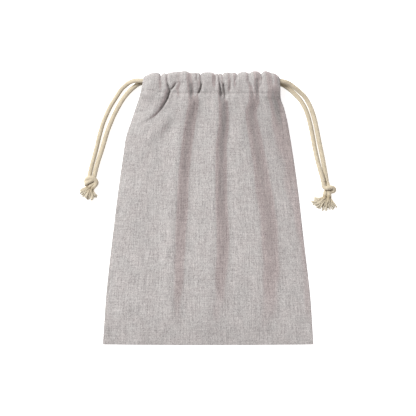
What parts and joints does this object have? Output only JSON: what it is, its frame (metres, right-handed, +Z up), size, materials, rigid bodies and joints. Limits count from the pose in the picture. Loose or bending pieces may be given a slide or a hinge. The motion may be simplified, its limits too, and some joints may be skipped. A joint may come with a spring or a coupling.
{
  "type": "drawstring pouch",
  "caption": "Flat cloth pouch lying on its back, its mouth gathered by natural cotton cords that leave the casing at both sides and end in knots with frayed tufts.",
  "frame": {"origin": "on the table, under the middle of the pouch's length and width", "axes": "+X across the pouch to the viewer's right, +Y from the bottom seam to the gathered mouth, +Z up from the table through the back to the front"},
  "size_m": [0.2425, 0.2599, 0.0222],
  "materials": {
    "cloth": "matt plain weave, warm grey with lighter and darker yarns",
    "cord": "matt natural cotton cord",
    "frayed_yarn": "matt loose cotton yarn"
  },
  "bodies": {
    "root": {"front_panel": "cloth", "back_panel": "cloth", "cord_front_inner": "cord", "cord_back_inner": "cord", "cord_front_left": "cord", "cord_back_left": "cord", "cord_front_right": "cord", "cord_back_right": "cord", "knot_left": "cord", "knot_right": "cord", "tuft_left": "frayed_yarn", "tuft_right": "frayed_yarn"}
  },
  "joints": []
}
